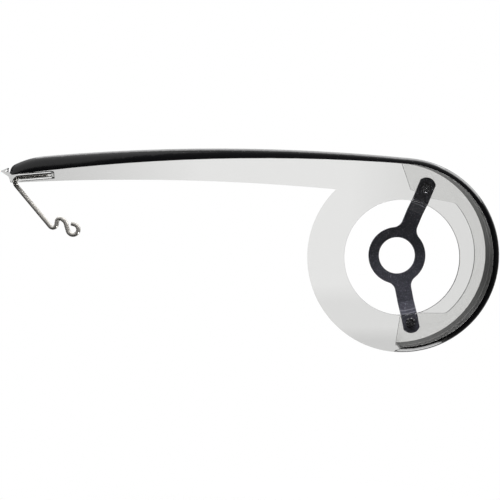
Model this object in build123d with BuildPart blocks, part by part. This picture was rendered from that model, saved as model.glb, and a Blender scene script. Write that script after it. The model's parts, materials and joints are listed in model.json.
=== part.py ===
from build123d import *
import os
from math import asin, cos, degrees, radians, sin, sqrt, tan

os.makedirs("parts", exist_ok=True)

# A bicycle chain guard, in millimetres. X runs forward, Y inboard and Z up.
# The origin is on the bottom bracket axis, on the bracket face that seats on the frame.
# Sketches lie in XZ planes, and "out" is how far outboard of that face a plane is.

# Bracket: a stamped steel ring with two cranked arms
BORE_D = 35.2
RING_D = 55.0
STRAP_T = 2.0
ARM_W = 15.5
ARM_TIP = 10.7
ARM_TIP_BULGE = 4.4
ROOT_FILLET = 10.0
UPPER_ANGLE = 67.5
UPPER_SCREW_INSET = 20.5
LOWER_ANGLE = -79.2
LOWER_SCREW_INSET = 25.8
JOGGLE_INSET = 45.0
JOGGLE_RUN = 11.8
BEND_R = 2.5

# Black rim: a rounded shoulder on the outer face and a wall round the chain
RIM_R = 90.5
RIM_X = 1.0
RIM_Z = 1.8
RIM_DEPTH = 37.5
WALL = 2.0
SHOULDER = 6.0
TOP_APEX_X = -172.0
TOP_RISE = 8.7
BAND_W = 5.9
BAND_APEX_X = -129.0
BAND_RISE = 5.0
BAND_SHIFT = -1.4
TAIL_X = -363.5
NOSE_LENGTH = 31.5
NOSE_BLUNT = 4.0
NOSE_TURN_DROP = 7.7
NOSE_DROP = 14.8
NOSE_PLAN_LENGTH = 80.0
NOSE_PLAN_DEPTH = 9.0
RIM_END_ANGLE = -90.0
RIM_END_SLANT = 220.0
WALL_END_X = 1.0
SHOULDER_STEPS = 5
PANEL_LAP = 0.2
END_OVERRUN = 20.0

# Clear panel: a ring round the crank and a long tail with a pointed tip
PANEL_STANDOFF = 27.0
PANEL_T = 2.0
WINDOW_D = 106.4
DISC_INSET = 3.1
TAIL_EDGE_X = -253.0
TAIL_HEIGHT = 29.2
TAIL_EDGE_R = 2040.0
TIP_LENGTH = 6.5
TIP_DROP = 14.5
TIP_TOP_DROP = 10.0
CHIN_FORWARD = 7.4
CHIN_DROP = 5.1
HEEL_FORWARD = 9.5
WINDOW_EDGE = 0.5
NECK_BEHIND = 4.6
TIP_MARK_D = 1.8
TIP_MARK_BEHIND = 1.2
TIP_MARK_RISE = 0.2

# Sleeve at the tail for the wire stay
SLEEVE_W = 7.0
SLEEVE_ROUND = 1.2
SLEEVE_LENGTH = 30.5
SLEEVE_BACK = 4.5
SLEEVE_FORWARD = 9.5
SLEEVE_RISE = 2.1
SLEEVE_SLOPE = 4.6
STAY_CLEARANCE = 0.05

# Wire stay: a leg in the sleeve, a straight run, a hump and a hooked eye
WIRE_D = 4.0
LEG_SHORT = 5.0
ELBOW_BEHIND = 9.35
ELBOW_R = 4.6
STAY_ANGLE = -50.2
FOOT_FORWARD = 41.9
FOOT_R = 3.3
CREST_FORWARD = 2.3
CREST_RISE = 15.1
CREST_R = 2.9
BROW_FORWARD = 6.95
BROW_DROP = 4.9
BROW_R = 6.0
EYE_FORWARD = 7.3
EYE_DROP = 7.5
EYE_R = 4.9
EYE_TURN = 238.0
EYE_END = 2.8

# Inner plate: a clear crescent with a tab for each arm
PLATE_T = 2.0
PLATE_GAP = 0.1
CRESCENT_W = 14.9
TAB_INSIDE = 6.2
TAB_AHEAD = 11.0
TAB_FRONT = 31.0
TAB_FRONT_RISE = 4.0
UPPER_TAB_BEHIND = 12.4
UPPER_TAB_FLARE = 17.6
LOWER_TAB_BEHIND = 8.7
LOWER_TAB_FLARE = 7.2
TAB_END_RISE = 20.0
TAB_FILLET = 6.0

# Screws, washers and nuts
SCREW_D = 5.0
SCREW_HOLE_D = 5.5
HEAD_D = 9.2
HEAD_H = 2.5
HEAD_ROUND = 1.6
RECESS_W = 1.1
RECESS_L = 5.0
RECESS_DEPTH = 1.5
WASHER_D = 10.0
WASHER_T = 1.0
NUT_AF = 8.0
NUT_H = 4.0
NUT_CHAMFER = 0.6
THREAD_GAP = 0.05
SCREW_PROUD = 1.0

# Depths and places that follow from those sizes
OUTBOARD = (0, -1, 0)
PLATE_BACK = STRAP_T
PLATE_FRONT = PLATE_BACK + PLATE_T
ARM_FRONT = PLATE_FRONT + STRAP_T
FACE = PANEL_STANDOFF
RIM_BACK = FACE - RIM_DEPTH
PANEL_BACK = FACE - PANEL_T
SHOULDER_BACK = FACE - SHOULDER
SLEEVE_OUT = FACE - SLEEVE_BACK
RIM_CENTRE = Vector(RIM_X, RIM_Z)
CLEAR_OF_ALL = 2 * RIM_R
UPPER_REACH = RIM_R - UPPER_SCREW_INSET
LOWER_REACH = RIM_R - LOWER_SCREW_INSET
JOGGLE_FROM = RIM_R - JOGGLE_INSET
DISC_R = RIM_R - DISC_INSET
NECK_X = -DISC_R - NECK_BEHIND
TAIL_EDGE_Z = RIM_Z + RIM_R + TOP_RISE - TAIL_HEIGHT
SLEEVE_X = TAIL_X + SLEEVE_FORWARD
SLEEVE_Z = TAIL_EDGE_Z + SLEEVE_RISE
ARMS = {
    "upper": (UPPER_ANGLE, UPPER_REACH),
    "lower": (LOWER_ANGLE, LOWER_REACH),
}
TAB_ENDS = {
    "upper": (UPPER_TAB_BEHIND, UPPER_TAB_FLARE),
    "lower": (LOWER_TAB_BEHIND, LOWER_TAB_FLARE),
}


def mix(start, end, share):
    """The value that lies this share of the way from start to end."""
    return start + (end - start) * share


def heading(angle):
    """The unit step in the XZ plane at an angle in degrees."""
    return Vector(cos(radians(angle)), sin(radians(angle)))


def beside_arm(name, along, across):
    """A point measured along an arm from the axis, and across it towards the front of the guard."""
    angle = ARMS[name][0]
    forward = angle - 90 if angle > 0 else angle + 90
    return heading(angle) * along + heading(forward) * across


class RimLine:
    """An outline of the rim, from its silhouette (blend 0) to the edge of the panel (blend 1).

    A long top arc, level at its highest point, runs into the round front without a corner.
    The inset moves the outline in from the silhouette, and fades to nothing at the panel.
    """

    def __init__(self, blend, inset=0.0):
        self.blend = blend
        self.inset = inset * (1 - blend)
        self.centre = RIM_CENTRE + Vector(BAND_SHIFT, 0) * blend
        self.radius = RIM_R - BAND_W * blend - self.inset
        rise = mix(TOP_RISE, BAND_RISE, blend)
        apex_x = mix(TOP_APEX_X, BAND_APEX_X, blend)
        height = self.radius + rise
        span = self.centre.X - apex_x
        self.top_radius = (span**2 + height**2 - self.radius**2) / (2 * rise)
        self.top_centre = Vector(apex_x, RIM_Z + height - self.top_radius)
        self.apex = Vector(apex_x, RIM_Z + height)
        to_front = (self.centre - self.top_centre).normalized()
        self.join = self.top_centre + to_front * self.top_radius

    def top(self, x):
        """The point of the long top arc at x."""
        return Vector(x, self.top_centre.Y + sqrt(self.top_radius**2 - (x - self.top_centre.X) ** 2))

    def front(self, angle):
        """The point of the round front at an angle."""
        return self.centre + heading(angle) * self.radius

    def nose(self):
        """Where the tail starts to turn down, where it turns sharply, and its lower end."""
        start = self.top(TAIL_X + NOSE_LENGTH)
        crown = RimLine(0).top(TAIL_X + NOSE_LENGTH)
        edge = RimLine(1)
        turn = crown + Vector(NOSE_BLUNT + self.inset - NOSE_LENGTH, -NOSE_TURN_DROP - self.inset)
        end = crown + Vector(self.inset - NOSE_LENGTH, -NOSE_DROP)
        edge_turn = edge.top(TAIL_X + NOSE_LENGTH / 2)
        edge_end = edge.top(TAIL_X + NOSE_BLUNT)
        return start, mix(turn, edge_turn, self.blend), mix(end, edge_end, self.blend)


def rim_face(line, out, cutting):
    """The area inside a rim outline. A cutting one reaches past the rim's open underside."""
    start, turn, end = line.nose()
    foot = line.front(RIM_END_ANGLE - END_OVERRUN)
    if cutting:
        below = [Vector(end.X, -CLEAR_OF_ALL), Vector(foot.X, -CLEAR_OF_ALL)]
    else:
        outer_end = RimLine(0).nose()[2]
        skirt = (RimLine(1).nose()[2] - outer_end).normalized()
        below = [outer_end + skirt * NOSE_LENGTH, RIM_CENTRE]
    with BuildSketch(Plane.XZ.offset(out)) as area:
        with BuildLine():
            ThreePointArc(foot, line.front(0), line.join)
            top = ThreePointArc(line.join, line.apex, start)
            nose = TangentArc(start, turn, tangent=top % 1)
            TangentArc(turn, end, tangent=nose % 1)
            Polyline(end, *below, foot)
        make_face()
    return area.sketch


def shoulder_faces(inset, near, cutting):
    """Outlines in step with a quarter ellipse, from the panel's edge back to the silhouette."""
    faces = []
    for step in range(SHOULDER_STEPS + 1):
        angle = radians(90 * step / SHOULDER_STEPS)
        out = mix(SHOULDER_BACK, near, cos(angle))
        blend = (1 - sin(angle)) * (1 + PANEL_LAP / BAND_W)
        faces.append(rim_face(RimLine(blend, inset), out, cutting))
    return faces


def panel_reach(out):
    """The area that the panel may fill, up to the rim's rounded band and its slanted end."""
    edge = RimLine(1)
    end = edge.front(RIM_END_ANGLE)
    slant = end + heading(RIM_END_SLANT) * RIM_R
    behind = edge.top(TAIL_X - 2 * TIP_LENGTH)
    with BuildSketch(Plane.XZ.offset(out)) as area:
        with BuildLine():
            ThreePointArc(end, edge.front(0), edge.join)
            ThreePointArc(edge.join, edge.apex, behind)
            Polyline(behind, Vector(behind.X, -CLEAR_OF_ALL), Vector(slant.X, -CLEAR_OF_ALL), slant, end)
        make_face()
    return area.sketch


with BuildPart() as black_rim:
    loft(sections=shoulder_faces(0, FACE, False))
    extrude(rim_face(RimLine(0), RIM_BACK, False), amount=RIM_DEPTH - SHOULDER, dir=OUTBOARD)
    # The hollow behind the shoulder and inside the wall
    loft(sections=shoulder_faces(WALL, PANEL_BACK + PANEL_LAP, True), mode=Mode.SUBTRACT)
    hollow = rim_face(RimLine(0, WALL), RIM_BACK - WALL, True)
    extrude(hollow, amount=SHOULDER_BACK - RIM_BACK + WALL, dir=OUTBOARD, mode=Mode.SUBTRACT)
    extrude(panel_reach(PANEL_BACK), amount=2 * PANEL_T, dir=OUTBOARD, mode=Mode.SUBTRACT)
    # The slanted end under the axis, where the wall stops short of the band
    rim_end = RimLine(1).front(RIM_END_ANGLE)
    with BuildSketch(Plane.XZ.offset(RIM_BACK)):
        with BuildLine():
            Polyline(
                RIM_CENTRE,
                rim_end,
                rim_end + heading(RIM_END_SLANT) * CLEAR_OF_ALL,
                Vector(-CLEAR_OF_ALL, RIM_Z),
                close=True,
            )
        make_face()
    extrude(amount=2 * RIM_DEPTH, mode=Mode.SUBTRACT)
    with BuildSketch(Plane.XZ.offset(RIM_BACK)):
        with Locations((WALL_END_X, RIM_Z)):
            Rectangle(RIM_R, CLEAR_OF_ALL, align=(Align.MAX, Align.MAX))
    extrude(amount=RIM_DEPTH - SHOULDER, mode=Mode.SUBTRACT)
    # The tail's wall is rounded off as seen from above
    with BuildSketch(Plane.XY):
        with BuildLine():
            back = (TAIL_X + NOSE_PLAN_LENGTH, -RIM_BACK)
            corner = (TAIL_X - WALL, -RIM_BACK)
            side = (TAIL_X - WALL, NOSE_PLAN_DEPTH - FACE)
            TangentArc(back, side, tangent=(-1, 0))
            Polyline(side, corner, back)
        make_face()
    extrude(amount=CLEAR_OF_ALL, mode=Mode.SUBTRACT)

tail_crown = RimLine(0).top(TAIL_X + NOSE_LENGTH)
tip = Vector(TAIL_X - TIP_LENGTH, tail_crown.Y - TIP_DROP)
tip_top = Vector(TAIL_X + NOSE_BLUNT, tail_crown.Y - TIP_TOP_DROP)


def tail_edge(x):
    """The point of the tail's lower edge at x."""
    return Vector(x, TAIL_EDGE_Z - TAIL_EDGE_R + sqrt(TAIL_EDGE_R**2 - (x - TAIL_EDGE_X) ** 2))


with BuildPart() as whole_panel:
    heel = tail_edge(tip.X + HEEL_FORWARD)
    chin = tip + Vector(CHIN_FORWARD, -CHIN_DROP)
    with BuildSketch(Plane.XZ.offset(PANEL_BACK)):
        with BuildLine():
            inner_end = tail_edge(RIM_X)
            ThreePointArc(heel, tail_edge(TAIL_EDGE_X), inner_end)
            Polyline(inner_end, Vector(inner_end.X, CLEAR_OF_ALL), Vector(heel.X, CLEAR_OF_ALL), heel)
        make_face()
        Circle(DISC_R)
        add(panel_reach(PANEL_BACK), mode=Mode.INTERSECT)
        Circle(WINDOW_D / 2, mode=Mode.SUBTRACT)
    extrude(amount=PANEL_T)
    round_edges = whole_panel.edges().filter_by(GeomType.CIRCLE)
    fillet(round_edges.filter_by(lambda edge: edge.radius == WINDOW_D / 2), WINDOW_EDGE)
    # The pointed tip wraps round the end of the black nose
    with BuildSketch(Plane.XZ.offset(PANEL_BACK)):
        with BuildLine():
            Polyline(heel, chin, tip, tip_top, tail_edge(TAIL_X + NOSE_LENGTH), close=True)
        make_face()
        add(rim_face(RimLine(0), PANEL_BACK, False), mode=Mode.SUBTRACT)
    extrude(amount=PANEL_T)
    # A small pointed moulding mark on the back of the tip
    mark = Vector(TAIL_X - TIP_MARK_BEHIND, -PANEL_BACK, tip.Y + TIP_MARK_RISE)
    with Locations(Plane(mark, z_dir=OUTBOARD)):
        Cone(
            TIP_MARK_D / 2,
            0,
            TIP_MARK_D / 2,
            align=(Align.CENTER, Align.CENTER, Align.MIN),
            mode=Mode.SUBTRACT,
        )

# Ring and tail are one moulding, parted at the neck so that each is a simple shape
neck = Plane.YZ.offset(NECK_X)
with BuildPart() as clear_panel:
    add(whole_panel)
    split(bisect_by=neck, keep=Keep.TOP)
with BuildPart() as clear_tail:
    add(whole_panel)
    split(bisect_by=neck, keep=Keep.BOTTOM)

with BuildPart() as stay_sleeve:
    # The wire turns in a square sleeve that lies on the tail, along its lower edge
    sleeve_start = Vector(SLEEVE_X, -SLEEVE_OUT, SLEEVE_Z)
    sleeve_way = Vector(cos(radians(SLEEVE_SLOPE)), 0, sin(radians(SLEEVE_SLOPE)))
    sleeve_plane = Plane(sleeve_start, x_dir=OUTBOARD, z_dir=sleeve_way)
    panel_seat = PANEL_BACK - SLEEVE_OUT
    with BuildSketch(sleeve_plane) as section:
        with Locations((panel_seat, 0)):
            Rectangle(SLEEVE_W / 2 + panel_seat, SLEEVE_W, align=(Align.MAX, Align.CENTER))
        fillet(section.vertices().group_by(Axis.X)[0], SLEEVE_ROUND)
    extrude(amount=SLEEVE_LENGTH)
    with BuildSketch(sleeve_plane):
        Circle(WIRE_D / 2 + STAY_CLEARANCE)
    extrude(amount=SLEEVE_LENGTH, mode=Mode.SUBTRACT)

with BuildPart() as inner_plate:
    plate_r = RIM_R - WALL - PLATE_GAP
    with BuildSketch(Plane.XZ.offset(PLATE_BACK)) as plate:
        with Locations(RIM_CENTRE):
            Circle(plate_r)
            Circle(plate_r - CRESCENT_W, mode=Mode.SUBTRACT)
        end_lines = {}
        for name, (angle, reach) in ARMS.items():
            inside = reach - TAB_INSIDE
            behind, flare = TAB_ENDS[name]
            corner = beside_arm(name, inside, -behind)
            knee = beside_arm(name, inside, TAB_AHEAD)
            front = beside_arm(name, inside + TAB_FRONT_RISE, TAB_FRONT)
            flared = beside_arm(name, inside + TAB_END_RISE, -behind - flare)
            end_lines[name] = [corner, flared]
            with BuildLine():
                Polyline(
                    corner,
                    knee,
                    knee + (front - knee) * 2,
                    beside_arm(name, plate_r, TAB_FRONT),
                    corner + (flared - corner) * 2,
                    close=True,
                )
            make_face()
            fillet(plate.vertices().sort_by_distance((front.X, front.Y, 0))[0], TAB_FILLET)
        with Locations(RIM_CENTRE):
            Circle(plate_r, mode=Mode.INTERSECT)
        with BuildLine():
            upper_in, upper_out = end_lines["upper"]
            lower_in, lower_out = end_lines["lower"]
            far_left = Vector(-CLEAR_OF_ALL, 0)
            upper_past = upper_in + (upper_out - upper_in).normalized() * RIM_R
            lower_past = lower_in + (lower_out - lower_in).normalized() * RIM_R
            Polyline(upper_in, upper_past, far_left, lower_past, lower_in, close=True)
        make_face(mode=Mode.SUBTRACT)
        with Locations(*[heading(angle) * reach for angle, reach in ARMS.values()]):
            Circle(SCREW_HOLE_D / 2, mode=Mode.SUBTRACT)
    extrude(amount=PLATE_T)

with BuildPart() as bracket:
    with BuildSketch(Plane.XZ):
        Circle(RING_D / 2 + ROOT_FILLET)
    extrude(amount=STRAP_T)
    # Each arm is cranked outboard, to lie on its tab
    for angle, reach in ARMS.values():
        along = Vector(cos(radians(angle)), 0, sin(radians(angle)))
        arm_end = reach + ARM_TIP
        with BuildSketch(Plane((0, 0, 0), x_dir=along, z_dir=along.cross(Vector(OUTBOARD)))):
            with BuildLine() as strip:
                FilletPolyline(
                    (0, 0),
                    (JOGGLE_FROM, 0),
                    (JOGGLE_FROM + JOGGLE_RUN, PLATE_FRONT),
                    (arm_end, PLATE_FRONT),
                    radius=BEND_R,
                )
                offset(amount=STRAP_T, side=Side.LEFT)
            make_face()
        extrude(amount=ARM_W, both=True)
    # The stamped outline trims the ring and both arms at once
    with BuildSketch(Plane.XZ) as stamped:
        Circle(RING_D / 2)
        for name, (_, reach) in ARMS.items():
            arm_end = reach + ARM_TIP
            behind = beside_arm(name, arm_end - ARM_TIP_BULGE, -ARM_W / 2)
            ahead = beside_arm(name, arm_end - ARM_TIP_BULGE, ARM_W / 2)
            with BuildLine():
                ThreePointArc(behind, beside_arm(name, arm_end, 0), ahead)
                Polyline(ahead, beside_arm(name, 0, ARM_W / 2), beside_arm(name, 0, -ARM_W / 2), behind)
            make_face()
        root_step = degrees(asin(ARM_W / RING_D))
        for angle, _ in ARMS.values():
            for side in (-root_step, root_step):
                root = heading(angle + side) * (RING_D / 2)
                fillet(stamped.vertices().sort_by_distance((root.X, root.Y, 0))[0], ROOT_FILLET)
        Circle(BORE_D / 2, mode=Mode.SUBTRACT)
        with Locations(*[heading(angle) * reach for angle, reach in ARMS.values()]):
            Circle(SCREW_HOLE_D / 2, mode=Mode.SUBTRACT)
    extrude(amount=ARM_FRONT, mode=Mode.INTERSECT)

with BuildPart() as wire_stay:
    leg_way = heading(SLEEVE_SLOPE)
    mouth = Vector(SLEEVE_X, SLEEVE_Z)
    leg_end = mouth + leg_way * (SLEEVE_LENGTH - LEG_SHORT)
    elbow = mouth - leg_way * ELBOW_BEHIND
    foot = elbow + Vector(FOOT_FORWARD, FOOT_FORWARD * tan(radians(STAY_ANGLE)))
    crest = foot + Vector(CREST_FORWARD, CREST_RISE)
    brow = crest + Vector(BROW_FORWARD, -BROW_DROP)
    to_eye = Vector(EYE_FORWARD, -EYE_DROP)
    into_eye = to_eye.rotate(Axis.Z, -degrees(asin(EYE_R / to_eye.length))).normalized()
    touch = brow + into_eye * sqrt(to_eye.length**2 - EYE_R**2)
    corners = [(point.X, point.Y) for point in (leg_end, elbow, foot, crest, brow, touch)]
    # The hook leaves the eye's arc along a short straight end
    out_way = into_eye.rotate(Axis.Z, EYE_TURN)
    hook = brow + to_eye + out_way.rotate(Axis.Z, -90) * EYE_R
    hook_end = hook + out_way * EYE_END
    with BuildLine(Plane.XZ.offset(SLEEVE_OUT)) as route:
        FilletPolyline(*corners, radius=(ELBOW_R, FOOT_R, CREST_R, BROW_R))
        JernArc(corners[-1], (into_eye.X, into_eye.Y), EYE_R, EYE_TURN)
        Line((hook.X, hook.Y), (hook_end.X, hook_end.Y))
    with BuildSketch(Plane(route.line @ 0, z_dir=route.line % 0)):
        Circle(WIRE_D / 2)
    sweep()


def make_screw(name):
    """A pan head screw with a cross recess, its head on the outboard face of an arm."""
    angle, reach = ARMS[name]
    place = heading(angle) * reach
    shank = STRAP_T + PLATE_T + WASHER_T + NUT_H + SCREW_PROUD
    with BuildPart() as screw:
        with BuildSketch(Plane.XZ.offset(ARM_FRONT)):
            with Locations(place):
                Circle(HEAD_D / 2)
        extrude(amount=HEAD_H)
        fillet(screw.edges().sort_by(Axis.Y)[0], HEAD_ROUND)
        with BuildSketch(Plane.XZ.offset(ARM_FRONT + HEAD_H)):
            with Locations(place):
                Rectangle(RECESS_L, RECESS_W)
                Rectangle(RECESS_W, RECESS_L)
        extrude(amount=-RECESS_DEPTH, mode=Mode.SUBTRACT)
        with BuildSketch(Plane.XZ.offset(ARM_FRONT)):
            with Locations(place):
                Circle(SCREW_D / 2)
        extrude(amount=-shank)
    return screw.part


def make_washer(name):
    """A plain washer on the inboard face of a tab."""
    angle, reach = ARMS[name]
    with BuildPart() as washer:
        with BuildSketch(Plane.XZ.offset(PLATE_BACK)):
            with Locations(heading(angle) * reach):
                Circle(WASHER_D / 2)
                Circle(SCREW_HOLE_D / 2, mode=Mode.SUBTRACT)
        extrude(amount=-WASHER_T)
    return washer.part


def make_nut(name):
    """A hexagon nut with chamfered corners, on its washer."""
    angle, reach = ARMS[name]
    place = heading(angle) * reach
    seat = PLATE_BACK - WASHER_T
    with BuildPart() as nut:
        with BuildSketch(Plane.XZ.offset(seat)):
            with Locations(place):
                Circle(NUT_AF / 2 / cos(radians(30)))
        extrude(amount=-NUT_H)
        chamfer(nut.edges().filter_by(GeomType.CIRCLE), NUT_CHAMFER)
        with BuildSketch(Plane.XZ.offset(seat)):
            with Locations(place):
                RegularPolygon(NUT_AF / 2, 6, major_radius=False)
                Circle(SCREW_D / 2 + THREAD_GAP, mode=Mode.SUBTRACT)
        extrude(amount=-NUT_H, mode=Mode.INTERSECT)
    return nut.part


pieces = {
    "black_rim": black_rim.part,
    "clear_panel": clear_panel.part,
    "clear_tail": clear_tail.part,
    "stay_sleeve": stay_sleeve.part,
    "inner_plate": inner_plate.part,
    "bracket": bracket.part,
    "wire_stay": wire_stay.part,
}
for arm in ARMS:
    pieces[arm + "_screw"] = make_screw(arm)
    pieces[arm + "_washer"] = make_washer(arm)
    pieces[arm + "_nut"] = make_nut(arm)
for label, piece in pieces.items():
    piece.label = label
    export_step(piece, "parts/" + label + ".step")
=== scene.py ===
# %% [markdown]
# # A clear bicycle chain guard, dressed for a product photo
#
# The guard is a long clear panel with a glossy black rim, a steel ring bracket that clamps at
# the bottom bracket, and a wire stay that swivels in the tail. Its solids come packed from the
# CAD model, in metres, with X forward, Y inboard and Z up. Their shapes are right as they are,
# so this lesson gives every piece its finish and its light.

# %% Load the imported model
import json
from math import pi, radians

import bpy
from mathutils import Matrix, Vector

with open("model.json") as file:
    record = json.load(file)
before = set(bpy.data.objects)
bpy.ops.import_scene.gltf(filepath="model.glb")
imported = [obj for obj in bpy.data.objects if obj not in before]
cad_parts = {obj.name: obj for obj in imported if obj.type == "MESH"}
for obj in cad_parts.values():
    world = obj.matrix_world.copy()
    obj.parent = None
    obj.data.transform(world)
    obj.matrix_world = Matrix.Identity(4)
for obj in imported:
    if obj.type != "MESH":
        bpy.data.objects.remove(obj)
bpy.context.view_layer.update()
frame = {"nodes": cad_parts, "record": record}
MM = 0.001

# %% [markdown]
# ## Three small helpers
#
# Colours are picked as sRGB hex values, as in any paint program, but shaders work in linear
# light, so one function turns the first into the second. A second function adds one node with
# its settings and links, which keeps every material below a short list of nodes. A third starts
# an empty material.

# %% Colours and nodes
# A Mix node keeps its two colour sockets at these places
MIX_A, MIX_B = 6, 7


def linear(hex_colour):
    """An sRGB hex colour as linear RGBA."""
    channels = [int(hex_colour[i : i + 2], 16) / 255 for i in (1, 3, 5)]
    light = [c / 12.92 if c <= 0.04045 else ((c + 0.055) / 1.055) ** 2.4 for c in channels]
    return light + [1.0]


def add_node(tree, kind, inputs=None, **settings):
    """Adds one shader node. An input given a socket or a node is linked, any other is set."""
    node = tree.nodes.new("ShaderNode" + kind)
    for name, value in settings.items():
        setattr(node, name, value)
    for name, value in (inputs or {}).items():
        if isinstance(value, bpy.types.Node):
            value = next(socket for socket in value.outputs if socket.enabled)
        if isinstance(value, bpy.types.NodeSocket):
            tree.links.new(value, node.inputs[name])
        else:
            node.inputs[name].default_value = value
    return node


def new_material(name):
    """An empty node material."""
    material = bpy.data.materials.new(name)
    material.use_nodes = True
    material.node_tree.nodes.clear()
    return material, material.node_tree


print("mid grey is", round(linear("#808080")[0], 3), "in linear light")

# %% [markdown]
# ## Clear polycarbonate, injection moulded
#
# Ring, tail, sleeve and inner plate are clear polycarbonate. The eye sees it as a light grey
# veil on white, with thin dark lines wherever an edge bends the light away. It could be faked
# with a see-through mix, but real refraction through the solid gives most of those lines for
# free. The material is built in five steps. The first is its skin: the mould leaves a slight
# waviness, and wiping leaves hair marks along the tail.

# %% Skin of the clear plastic
RIPPLE_LENGTH, RIPPLE_RISE = 45 * MM, 0.2 * MM
# Real hair marks are far finer than a pixel, so they are drawn coarser to show at all
HAIR_WIDTH, HAIR_SQUEEZE = 1.5 * MM, 0.03
POLISHED, WIPED = 0.02, 0.06
clear_polycarbonate, tree = new_material("clear_polycarbonate_moulded")
place = add_node(tree, "TexCoord").outputs["Object"]
wave = add_node(tree, "TexNoise", {"Vector": place, "Scale": 1 / RIPPLE_LENGTH, "Detail": 1.0})
ripple = add_node(tree, "Bump", {"Strength": 0.02, "Distance": RIPPLE_RISE, "Height": wave})
drawn_out = add_node(tree, "Mapping", {"Vector": place, "Scale": (HAIR_SQUEEZE, 1.0, 1.0)})
hairs = add_node(tree, "TexNoise", {"Vector": drawn_out, "Scale": 1 / HAIR_WIDTH, "Detail": 2.0})
gloss = add_node(
    tree,
    "MapRange",
    {"Value": hairs, "From Min": 0.6, "From Max": 0.8, "To Min": POLISHED, "To Max": WIPED},
)
print("ripple of", RIPPLE_LENGTH / MM, "mm, hair marks of", HAIR_WIDTH / MM, "mm")

# %% [markdown]
# ### Where the sleeve sits
#
# The square sleeve stands on the back of the tail, along the axis that the wire turns about. It
# could have a material of its own, but it comes from the same mould. So the one material works
# out the sleeve's ground instead: a rectangle, measured along the sleeve and across it.

# %% Ground of the sleeve
SLEEVE_START = (-354.0 * MM, 0.0, 73.9 * MM)
SLEEVE_WAY = (0.996779, 0.0, 0.080199)
SLEEVE_ACROSS = (-0.080199, 0.0, 0.996779)
SLEEVE_LENGTH, SLEEVE_WIDTH = 30.5 * MM, 7.0 * MM


def within(tree, value, middle, half):
    """A mask: one where a value lies within half a width of the middle, and zero elsewhere."""
    away = add_node(tree, "Math", {0: value, 1: middle}, operation="SUBTRACT")
    size = add_node(tree, "Math", {0: away}, operation="ABSOLUTE")
    return add_node(tree, "Math", {0: size, 1: half}, operation="LESS_THAN")


from_start = add_node(tree, "VectorMath", {0: place, 1: SLEEVE_START}, operation="SUBTRACT")
down = add_node(tree, "VectorMath", {0: from_start, 1: SLEEVE_WAY}, operation="DOT_PRODUCT")
over = add_node(tree, "VectorMath", {0: from_start, 1: SLEEVE_ACROSS}, operation="DOT_PRODUCT")
in_length = within(tree, down, SLEEVE_LENGTH / 2, SLEEVE_LENGTH / 2)
in_width = within(tree, over, 0.0, SLEEVE_WIDTH / 2)
on_sleeve = add_node(tree, "Math", {0: in_length, 1: in_width}, operation="MULTIPLY")
off_sleeve = add_node(tree, "Math", {0: 1.0, 1: on_sleeve}, operation="SUBTRACT")
print("sleeve ground", SLEEVE_LENGTH / MM, "by", SLEEVE_WIDTH / MM, "mm")

# %% [markdown]
# ### Painted shade
#
# The plastic is painted a little darker at the tail and low on the ring, and evenly so over the
# front. This is painted shade, where the panel looks darker in the studio's light. Sleeve and
# inner plate get none of it. A volume could hold such a grey, but it renders slowly, so the tint
# of the faces carries it.

# %% Painted shade in the tint
PLATE_AHEAD_Y = -10.0 * MM
# The greyer tint is painted shade; the inner plate has a paler tint
CLEAR_PANEL_TINT, SHADED_PANEL_TINT, PLATE_TINT = linear("#f1f1f0"), linear("#c2c2c1"), linear("#f6f6f5")
spot = add_node(tree, "SeparateXYZ", {"Vector": place})
along, depth, height = (spot.outputs[axis] for axis in "XYZ")
# Where the painted shade starts and where it is fullest in mm, the least and the most of it, and
# how this joins the rows before it
PAINTED_SHADE_ROWS = (
    (along, -185, -330, 0.07, 0.72, "MAXIMUM"),  # towards the end of the tail
    (height, -20, -42, 0.0, 0.31, "MAXIMUM"),  # low on the ring
    (height, -52, -77, 0.0, 0.65, "MAXIMUM"),  # at the foot of the ring
    (along, 12, -4, 0.0, 1.0, "MULTIPLY"),  # all of it only behind the axis
    (along, -62, 2, 0.0, 0.32, "MAXIMUM"),  # over the front
)
painted_shade = 0.0
for value, shade_start, shade_full, least, most, join in PAINTED_SHADE_ROWS:
    row_shade = add_node(
        tree,
        "MapRange",
        {
            "Value": value,
            "From Min": shade_start * MM,
            "From Max": shade_full * MM,
            "To Min": least,
            "To Max": most,
        },
    )
    painted_shade = add_node(tree, "Math", {0: painted_shade, 1: row_shade}, operation=join)
in_front = add_node(tree, "Math", {0: depth, 1: PLATE_AHEAD_Y}, operation="LESS_THAN")
in_panel = add_node(tree, "Math", {0: in_front, 1: off_sleeve}, operation="MULTIPLY")
in_plate = add_node(tree, "Math", {0: depth, 1: PLATE_AHEAD_Y}, operation="GREATER_THAN")
panel_painted_shade = add_node(tree, "Math", {0: painted_shade, 1: in_panel}, operation="MULTIPLY")
tint_with_shade = add_node(
    tree, "Mix", {0: panel_painted_shade, MIX_A: CLEAR_PANEL_TINT, MIX_B: SHADED_PANEL_TINT}, data_type="RGBA"
)
tint = add_node(tree, "Mix", {0: in_plate, MIX_A: tint_with_shade, MIX_B: PLATE_TINT}, data_type="RGBA")
print("smoke in", len(PAINTED_SHADE_ROWS), "rows")
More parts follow.
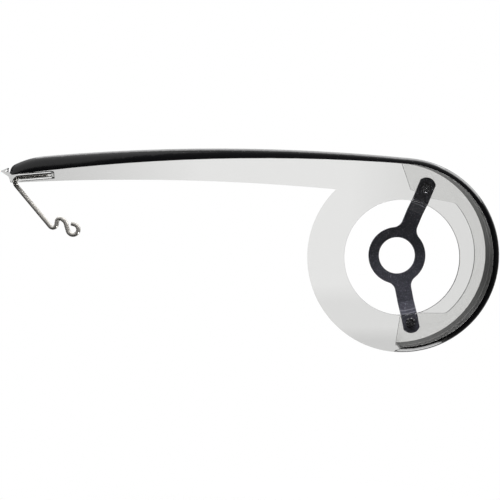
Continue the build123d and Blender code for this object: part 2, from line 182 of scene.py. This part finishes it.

# %% [markdown]
# ### Cut edges, with painted shade
#
# The narrow side faces are painted grey round the window and nearly black on the tabs of the
# inner
# plate: painted shade for the dark lines that these clear edges show. They turn black and opaque
# where the panel is bonded to the rim. Separate edge pieces could show that, but a face's own
# direction and place already tell an edge from a broad face.

# %% Cut and bonded edges
RIM_CENTRE = (1.0 * MM, 0.0, 1.8 * MM)
FLATTEN = (1.0, 0.0, 1.0)
EDGE_TURN = 0.8
SLEEVE_MIDDLE_Y, SLEEVE_HALF_DEPTH = -17.4 * MM, 7.5 * MM
BOND_RADIUS, BOND_HEIGHT = 81.0 * MM, 82.0 * MM
WALL_END_X, TAB_END_X = -3.0 * MM, 35.0 * MM
# Grey round the window and near black on the tabs are painted shade; the bond is the black of the
# joint
CUT_EDGE_SHADE, TAB_EDGE_SHADE, BOND = linear("#6c6c6c"), linear("#0a0a0a"), linear("#0c0c0d")
normal = add_node(tree, "NewGeometry").outputs["Normal"]
turned = add_node(tree, "SeparateXYZ", {"Vector": normal})
flatness = add_node(tree, "Math", {0: turned.outputs["Y"]}, operation="ABSOLUTE")
upright = add_node(tree, "Math", {0: flatness, 1: EDGE_TURN}, operation="LESS_THAN")
at_sleeve = within(tree, depth, SLEEVE_MIDDLE_Y, SLEEVE_HALF_DEPTH)
# Upright and not at the sleeve
side = add_node(tree, "Math", {0: upright, 1: at_sleeve}, operation="GREATER_THAN")

from_axis = add_node(tree, "VectorMath", {0: place, 1: RIM_CENTRE}, operation="SUBTRACT")
in_plane = add_node(tree, "VectorMath", {0: from_axis, 1: FLATTEN}, operation="MULTIPLY")
reach = add_node(tree, "VectorMath", {0: in_plane}, operation="LENGTH")
far_out = add_node(tree, "Math", {0: reach, 1: BOND_RADIUS}, operation="GREATER_THAN")
ahead = add_node(tree, "Math", {0: along, 1: WALL_END_X}, operation="GREATER_THAN")
round_front = add_node(tree, "Math", {0: far_out, 1: ahead}, operation="MULTIPLY")
on_top = add_node(tree, "Math", {0: height, 1: BOND_HEIGHT}, operation="GREATER_THAN")
under_rim = add_node(tree, "Math", {0: round_front, 1: on_top}, operation="MAXIMUM")
bonded = add_node(tree, "Math", {0: under_rim, 1: side}, operation="MULTIPLY")
by_tabs = add_node(tree, "Math", {0: along, 1: TAB_END_X}, operation="LESS_THAN")
on_tabs = add_node(tree, "Math", {0: in_plate, 1: by_tabs}, operation="MULTIPLY")

# Painted shade on the cut edges, then the black of the bond
edge = add_node(tree, "Mix", {0: on_tabs, MIX_A: CUT_EDGE_SHADE, MIX_B: TAB_EDGE_SHADE}, data_type="RGBA")
edge = add_node(tree, "Mix", {0: bonded, MIX_A: edge, MIX_B: BOND}, data_type="RGBA")
colour = add_node(tree, "Mix", {0: side, MIX_A: tint, MIX_B: edge}, data_type="RGBA")
see_through = add_node(tree, "Math", {0: 1.0, 1: bonded}, operation="SUBTRACT")
print("bonded beyond", BOND_RADIUS / MM, "mm and above", BOND_HEIGHT / MM, "mm")

# %% [markdown]
# ### One moulding
#
# Ring, tail and sleeve come from one mould, but here they are three solids that meet. Left
# alone, the faces between them would show as lines that the real part lacks. Joining the meshes
# would change the CAD solids, so the material leaves those faces out.

# %% Clear shader
PANEL_BACK_Y = -25.0 * MM
NECK_X = -92.0 * MM
SAME_PLACE = 0.05 * MM
POLYCARBONATE_IOR = 1.585
at_back = within(tree, depth, PANEL_BACK_Y, SAME_PLACE)
under_sleeve = add_node(tree, "Math", {0: on_sleeve, 1: at_back}, operation="MULTIPLY")
at_neck = within(tree, along, NECK_X, SAME_PLACE)
across_neck = add_node(tree, "Math", {0: side, 1: at_neck}, operation="MULTIPLY")
shared = add_node(tree, "Math", {0: under_sleeve, 1: across_neck}, operation="MAXIMUM")
kept = add_node(tree, "Math", {0: 1.0, 1: shared}, operation="SUBTRACT")
clear = add_node(
    tree,
    "BsdfPrincipled",
    {
        "Base Color": colour,
        "Roughness": gloss,
        "IOR": POLYCARBONATE_IOR,
        "Transmission Weight": see_through,
        "Alpha": kept,
        "Normal": ripple,
    },
)
add_node(tree, "OutputMaterial", {"Surface": clear})
print("made", clear_polycarbonate.name)

# %% [markdown]
# ## Black ABS, moulded in a polished tool
#
# The rim is black ABS. Its outer side comes from a polished cavity: nearly black, with soft
# clear reflections, a faint orange peel, and patches that handling has left slightly duller. Its
# inner side comes off a plain core, so it is matt. Two materials could share the rim by face,
# but one that knows inside from outside needs no choice of faces.

# %% Polished and handled
# Orange peel is about 1 mm, drawn coarser so that it shows
PEEL_SIZE, PEEL_RISE = 2.5 * MM, 0.1 * MM
HANDLED_SIZE = 30 * MM
SHINY, HANDLED = 0.11, 0.18
black_abs, tree = new_material("black_abs_polished_mould")
place = add_node(tree, "TexCoord").outputs["Object"]
peel = add_node(tree, "TexNoise", {"Vector": place, "Scale": 1 / PEEL_SIZE, "Detail": 2.0})
skin = add_node(tree, "Bump", {"Strength": 0.01, "Distance": PEEL_RISE, "Height": peel})
patches = add_node(tree, "TexNoise", {"Vector": place, "Scale": 1 / HANDLED_SIZE, "Detail": 4.0})
dullness = add_node(
    tree,
    "MapRange",
    {"Value": patches, "From Min": 0.35, "From Max": 0.7, "To Min": SHINY, "To Max": HANDLED},
)
print("peel of", PEEL_SIZE / MM, "mm, patches of", HANDLED_SIZE / MM, "mm")

# %% [markdown]
# ### Inside and outside of the rim
#
# Outward is up along the tail, and away from the axis round the front. A face that looks the
# other way is on the inside, where the core left it matt.

# %% Black ABS
MATT_INSIDE = 0.33
ABS_IOR = 1.54
from_axis = add_node(tree, "VectorMath", {0: place, 1: RIM_CENTRE}, operation="SUBTRACT")
spot = add_node(tree, "SeparateXYZ", {"Vector": from_axis})
ahead = add_node(tree, "Math", {0: spot.outputs["X"], 1: 0.0}, operation="MAXIMUM")
outward = add_node(tree, "CombineXYZ", {"X": ahead, "Z": spot.outputs["Z"]})
normal = add_node(tree, "NewGeometry").outputs["Normal"]
turned = add_node(tree, "VectorMath", {0: normal, 1: outward}, operation="DOT_PRODUCT")
inside = add_node(tree, "Math", {0: turned, 1: 0.0}, operation="LESS_THAN")
matt = add_node(tree, "Math", {0: inside, 1: MATT_INSIDE}, operation="MULTIPLY")
gloss = add_node(tree, "Math", {0: matt, 1: dullness}, operation="MAXIMUM")
abs_skin = add_node(
    tree,
    "BsdfPrincipled",
    {"Base Color": linear("#050506"), "Roughness": gloss, "IOR": ABS_IOR, "Normal": skin},
)
add_node(tree, "OutputMaterial", {"Surface": abs_skin})
print("made", black_abs.name)

# %% [markdown]
# ## Textured powder coat on stamped steel
#
# The bracket is stamped from 2 mm steel and powder coated in charcoal. Powder flows out to a
# fine leathery skin, with grains that catch the light as small pale specks. A bump alone would
# give the leather but not the specks, so one noise drives both height and colour.

# %% Grain of the powder coat
# The real grain is about 0.3 mm, drawn coarser so that it still shows in the picture
GRAIN_SIZE, GRAIN_RISE = 1.1 * MM, 0.15 * MM
CHARCOAL, SPECK = linear("#34343c"), linear("#66666f")
powder_coat, tree = new_material("charcoal_powder_coat")
place = add_node(tree, "TexCoord").outputs["Object"]
grain = add_node(
    tree,
    "TexNoise",
    {"Vector": place, "Scale": 1 / GRAIN_SIZE, "Detail": 3.0, "Roughness": 0.6},
)
speck = add_node(
    tree,
    "MapRange",
    {"Value": grain, "From Min": 0.5, "From Max": 0.72},
    interpolation_type="SMOOTHSTEP",
)
coat_colour = add_node(
    tree, "Mix", {0: speck, MIX_A: CHARCOAL, MIX_B: SPECK}, data_type="RGBA"
)
skin = add_node(tree, "Bump", {"Strength": 0.35, "Distance": GRAIN_RISE, "Height": grain})
print("grain of", GRAIN_SIZE / MM, "mm")

# %% [markdown]
# ### Painted highlights at the bends
#
# At the outer bend of each arm two pale lines are painted into the coat, stronger on the upper
# arm: painted highlights for the light that the bends catch. They lie at two distances from the
# axis, so they are worked out from the distance and need no picture.

# %% Powder coat
BEND_MIDDLE, BEND_HALF, BEND_HIGHLIGHT_WIDTH = 54.8 * MM, 1.5 * MM, 0.7 * MM
# The pale lines at the bends are painted highlights
BEND_HIGHLIGHT = linear("#8e8e96")
BRIGHTEST_BEND_HIGHLIGHT, LOWER_ARM = 0.8, 0.55
ARM_LOW_Z, ARM_HIGH_Z = -20 * MM, 20 * MM
COAT_ROUGHNESS, COAT_IOR = 0.45, 1.5
in_plane = add_node(tree, "VectorMath", {0: place, 1: FLATTEN}, operation="MULTIPLY")
reach = add_node(tree, "VectorMath", {0: in_plane}, operation="LENGTH")
off_line = reach
for distance in (BEND_MIDDLE, BEND_HALF):
    away = add_node(tree, "Math", {0: off_line, 1: distance}, operation="SUBTRACT")
    off_line = add_node(tree, "Math", {0: away}, operation="ABSOLUTE")
painted_lines = add_node(
    tree,
    "MapRange",
    {"Value": off_line, "From Max": BEND_HIGHLIGHT_WIDTH, "To Min": BRIGHTEST_BEND_HIGHLIGHT, "To Max": 0.0},
    interpolation_type="SMOOTHSTEP",
)
arm_z = add_node(tree, "SeparateXYZ", {"Vector": place}).outputs["Z"]
arm = add_node(
    tree,
    "MapRange",
    {"Value": arm_z, "From Min": ARM_LOW_Z, "From Max": ARM_HIGH_Z, "To Min": LOWER_ARM},
)
highlight_share = add_node(tree, "Math", {0: painted_lines, 1: arm}, operation="MULTIPLY")
coat_with_highlights = add_node(
    tree, "Mix", {0: highlight_share, MIX_A: coat_colour, MIX_B: BEND_HIGHLIGHT}, data_type="RGBA"
)
coat = add_node(
    tree,
    "BsdfPrincipled",
    {"Base Color": coat_with_highlights, "Roughness": COAT_ROUGHNESS, "IOR": COAT_IOR, "Normal": skin},
)
add_node(tree, "OutputMaterial", {"Surface": coat})
print("made", powder_coat.name)

# %% [markdown]
# ## Black zinc plate
#
# Screws, washers and nuts are steel with a black passivated zinc plate: a dark metal with a
# satin shine, uneven where the bath left it thinner. Plain grey paint would miss the shine, so
# it is a full metal whose colour and roughness follow the same clouds.

# %% Black zinc
CLOUD_SIZE = 2.0 * MM
DARK_ZINC, THIN_ZINC = linear("#808084"), linear("#c8c8cc")
SMOOTH_ZINC, SATIN_ZINC = 0.2, 0.34
black_zinc, tree = new_material("black_zinc_plate")
place = add_node(tree, "TexCoord").outputs["Object"]
bath = add_node(tree, "TexNoise", {"Vector": place, "Scale": 1 / CLOUD_SIZE, "Detail": 4.0})
thin = add_node(
    tree,
    "MapRange",
    {"Value": bath, "From Min": 0.42, "From Max": 0.62},
    interpolation_type="SMOOTHSTEP",
)
zinc_colour = add_node(
    tree, "Mix", {0: thin, MIX_A: DARK_ZINC, MIX_B: THIN_ZINC}, data_type="RGBA"
)
satin = add_node(
    tree,
    "MapRange",
    {
        "Value": bath,
        "From Min": 0.3,
        "From Max": 0.7,
        "To Min": SMOOTH_ZINC,
        "To Max": SATIN_ZINC,
    },
)
zinc = add_node(
    tree, "BsdfPrincipled", {"Base Color": zinc_colour, "Metallic": 1.0, "Roughness": satin}
)
add_node(tree, "OutputMaterial", {"Surface": zinc})
print("made", black_zinc.name)

# %% [markdown]
# ## Drawn stainless wire
#
# The stay is 4 mm stainless spring wire. Drawing through a die leaves it bright but satin, with
# a fine uneven polish, and a thin film of drawing soap takes some of the mirror off it. A pure
# metal would turn too dark beside the dark side of the studio, so a share of it is the pale film.

# %% Stainless wire
# Die lines are far finer than a pixel, so the uneven polish is drawn coarser
POLISH_SIZE = 0.8 * MM
BRIGHT_WIRE, SATIN_WIRE = 0.14, 0.2
METAL_SHARE = 0.74
stainless, tree = new_material("drawn_stainless_wire")
place = add_node(tree, "TexCoord").outputs["Object"]
drawn = add_node(tree, "TexNoise", {"Vector": place, "Scale": 1 / POLISH_SIZE, "Detail": 3.0})
polish = add_node(
    tree,
    "MapRange",
    {
        "Value": drawn,
        "From Min": 0.3,
        "From Max": 0.7,
        "To Min": BRIGHT_WIRE,
        "To Max": SATIN_WIRE,
    },
)
steel = add_node(
    tree,
    "BsdfPrincipled",
    {"Base Color": linear("#bab7b2"), "Metallic": METAL_SHARE, "Roughness": polish},
)
add_node(tree, "OutputMaterial", {"Surface": steel})
print("made", stainless.name)

# %% [markdown]
# ## Finishes onto pieces
#
# Each solid already sits in its place, so it only needs the right material in its slot. The
# record says which finish each one has.

# %% Dress the solids
FINISHES = {
    "clear_plastic": clear_polycarbonate,
    "black_plastic": black_abs,
    "coated_steel": powder_coat,
    "dark_zinc": black_zinc,
    "stainless_wire": stainless,
}
for part in frame["record"]["subparts"]:
    solid = frame["nodes"][part["node"]]
    solid.data.materials.clear()
    solid.data.materials.append(FINISHES[part["material_slot"]])

# %% [markdown]
# ## A white studio that still has dark sides
#
# In the photo the background is pure white, and yet the black rim stays black: behind and above
# the guard the studio is bright, while the camera's side, the lower left and the lower right are
# dark, and the far left is dimmer. Polished plastic and wire need that difference to show their
# form. One brightness, worked out from a direction, serves the floor and the world alike, so no
# seam shows between them in a reflection.

# %% Studio brightness
OBJECT_MIDDLE = (-0.14, 0.0, 0.0)
DARK_LEFT = Vector((-0.75, -0.45, -0.5)).normalized()
DARK_RIGHT = Vector((0.9, -0.35, -0.25)).normalized()


def studio_glow(tree, direction):
    """How bright the studio looks in a mirror that shows this direction."""
    low_left = add_node(tree, "VectorMath", {0: direction, 1: DARK_LEFT}, operation="DOT_PRODUCT")
    low_right = add_node(
        tree, "VectorMath", {0: direction, 1: DARK_RIGHT}, operation="DOT_PRODUCT"
    )
    spot = add_node(tree, "SeparateXYZ", {"Vector": direction})
    off_level = add_node(tree, "Math", {0: spot.outputs["Z"]}, operation="ABSOLUTE")
    far_left = add_node(tree, "Math", {0: spot.outputs["X"], 1: off_level})
    glow = 1.0
    # How far the direction points that way, from and to, and the brightness at both
    for value, start, end, start_glow, end_glow in (
        (low_left, 0.0, 0.75, 1.0, 0.04),
        (spot.outputs["Y"], -0.75, 0.05, 0.1, 1.0),
        (low_right, 0.45, 0.85, 1.0, 0.1),
        (far_left, -0.45, 0.1, 0.4, 1.1),
    ):
        side = add_node(
            tree,
            "MapRange",
            {
                "Value": value,
                "From Min": start,
                "From Max": end,
                "To Min": start_glow,
                "To Max": end_glow,
            },
            interpolation_type="SMOOTHSTEP",
        )
        glow = add_node(tree, "Math", {0: glow, 1: side}, operation="MULTIPLY")
    return glow


print("dark towards", [tuple(round(v, 2) for v in way) for way in (DARK_LEFT, DARK_RIGHT)])

# %% [markdown]
# ## Three ways of seeing the studio
#
# The camera sees white, directly and through the clear panel. Mirrors see the studio with its
# dark sides. What is left only lights the object, and is plain. Light Path tells these rays
# apart, for the floor and the world alike.


# %% Rays told apart
def by_ray(tree, lighting, mirrored, looked_at):
    """One of three shaders, for rays that light, that reflect and that look straight."""
    path = add_node(tree, "LightPath")
    looks = add_node(
        tree,
        "Math",
        {0: path.outputs["Is Camera Ray"], 1: path.outputs["Is Transmission Ray"]},
        operation="MAXIMUM",
    )
    bounces = add_node(
        tree, "Math", {0: path.outputs["Diffuse Depth"], 1: path.outputs["Glossy Depth"]}
    )
    straight = add_node(tree, "Math", {0: bounces, 1: 0.5}, operation="LESS_THAN")
    plainly = add_node(tree, "Math", {0: looks, 1: straight}, operation="MULTIPLY")
    unseen = add_node(
        tree, "MixShader", {0: path.outputs["Is Glossy Ray"], 1: lighting, 2: mirrored}
    )
    return add_node(tree, "MixShader", {0: plainly, 1: unseen, 2: looked_at})


print("three kinds of rays")

# %% [markdown]
# ## Floor
#
# The guard is held by its bracket, so the pale floor lies below it. Looked at, the floor is
# plain white, apart from a long patch under the guard: there a share of it is matt paint, which
# takes the shadow and fades out to all sides. What the floor throws back up is held down to a mid
# grey, so that the bracket keeps a darker underside.

# %% Floor
FLOOR_Z, FLOOR_SIZE = -0.36, 12.0
SHADOW_SHARE = 0.6
# Distances from the guard's middle to the floor, where the patch starts to fade and where it ends
SHADOW_NEAR, SHADOW_FAR = 0.385, 0.46
SHADOW_STRETCH = (0.55, 1.0, 1.0)
bpy.ops.mesh.primitive_plane_add(size=FLOOR_SIZE, location=(0, 0, FLOOR_Z))
floor = bpy.context.object
floor.name = "studio_floor"
pale, tree = new_material("pale_floor_paint")
place = add_node(tree, "NewGeometry").outputs["Position"]
from_object = add_node(tree, "VectorMath", {0: place, 1: OBJECT_MIDDLE}, operation="SUBTRACT")
towards = add_node(tree, "VectorMath", {0: from_object}, operation="NORMALIZE")
mirror = add_node(tree, "Emission", {"Strength": studio_glow(tree, towards.outputs["Vector"])})
white = add_node(tree, "Emission", {"Strength": 1.0})
matt = add_node(tree, "BsdfDiffuse", {"Color": linear("#b8b8b7")})
bounce = add_node(tree, "BsdfDiffuse", {"Color": linear("#8a8a89")})
longways = add_node(tree, "VectorMath", {0: from_object, 1: SHADOW_STRETCH}, operation="MULTIPLY")
far = add_node(tree, "VectorMath", {0: longways}, operation="LENGTH")
share = add_node(
    tree,
    "MapRange",
    {
        "Value": far,
        "From Min": SHADOW_NEAR,
        "From Max": SHADOW_FAR,
        "To Min": SHADOW_SHARE,
        "To Max": 0.0,
    },
    interpolation_type="SMOOTHSTEP",
)
seen = add_node(tree, "MixShader", {0: share, 1: white, 2: matt})
add_node(tree, "OutputMaterial", {"Surface": by_ray(tree, bounce, mirror, seen)})
floor.data.materials.append(pale)
print("floor at", FLOOR_Z)

# %% [markdown]
# ## World
#
# Camera and clear plastic see white, mirrors see the studio, and matt surfaces get plain fill.

# %% World
FILL = 0.25
WHITE = linear("#ffffff")
world = bpy.data.worlds.new("studio")
bpy.context.scene.world = world
world.use_nodes = True
tree = world.node_tree
tree.nodes.clear()
direction = add_node(tree, "TexCoord").outputs["Generated"]
glow = studio_glow(tree, direction)
mirror = add_node(tree, "Background", {"Color": WHITE, "Strength": glow})
white = add_node(tree, "Background", {"Color": WHITE, "Strength": 1.0})
fill = add_node(tree, "Background", {"Color": WHITE, "Strength": FILL})
add_node(tree, "OutputWorld", {"Surface": by_ray(tree, fill, mirror, white)})
print("made the", world.name)

# %% [markdown]
# ## Soft boxes
#
# A long soft box hangs above the guard and draws the pale line along the top of the black rim,
# with one at either side for the tail and the round front. A small one lies under the front and
# draws the white strip along its belly, so it lights no matt surface. The last lights the matt
# bracket from above and in front, and no mirror shows it.


# %% Soft boxes
def soft_box(name, place, aim, width, height, radiance):
    """A rectangular studio light that faces a point, as bright as this when looked at."""
    light = bpy.data.lights.new(name, "AREA")
    light.shape = "RECTANGLE"
    light.size = width
    light.size_y = height
    light.energy = radiance * pi * width * height
    lamp = bpy.data.objects.new(name, light)
    lamp.location = place
    lamp.rotation_euler = (Vector(aim) - Vector(place)).to_track_quat("-Z", "Y").to_euler()
    bpy.context.scene.collection.objects.link(lamp)
    return lamp


TAIL, FRONT, AXIS = (-0.35, 0.0, 0.09), (0.05, 0.0, 0.05), (0.0, 0.0, 0.0)
BELLY_X, BELLY_Y, BELLY_Z = 0.07, -0.1, FLOOR_Z + 0.05
soft_box("top_soft_box", (-0.14, 0.24, 0.9), OBJECT_MIDDLE, 1.6, 0.75, 3.2)
soft_box("left_soft_box", (-0.85, -0.45, 0.72), TAIL, 0.9, 0.8, 0.55)
soft_box("right_soft_box", (0.8, 0.1, 0.72), FRONT, 0.8, 0.6, 4.0)
belly = soft_box(
    "low_soft_box", (BELLY_X, BELLY_Y, BELLY_Z), (BELLY_X, BELLY_Y, 0.0), 0.22, 0.24, 8.0
)
belly.visible_diffuse = False
key = soft_box("front_soft_box", (0.0, -0.3, 0.9), AXIS, 0.9, 0.4, 30.0)
key.visible_glossy = False
print("lit by", len(bpy.data.lights), "soft boxes")

# %% [markdown]
# ## Camera
#
# The photo looks straight at the panel, and the frame is shifted off the lens axis. Turning the
# camera instead would make the straight edges converge, so the lens is shifted.

# %% Camera
CAMERA_PLACE = (-94.0 * MM, -508.0 * MM, 37.2 * MM)
FOCAL_LENGTH, SENSOR_WIDTH = 37.6, 36.0
SHIFT_X, SHIFT_Y = -0.10, -0.066
NEAREST = 10 * MM
lens = bpy.data.cameras.new("product_camera")
lens.lens = FOCAL_LENGTH
lens.sensor_width = SENSOR_WIDTH
lens.shift_x = SHIFT_X
lens.shift_y = SHIFT_Y
lens.clip_start = NEAREST
camera = bpy.data.objects.new("product_camera", lens)
camera.location = CAMERA_PLACE
camera.rotation_euler = (radians(90), 0, 0)
bpy.context.scene.collection.objects.link(camera)
bpy.context.scene.camera = camera
bpy.context.scene.view_settings.view_transform = "Standard"
print("camera at", tuple(round(v, 4) for v in camera.location))
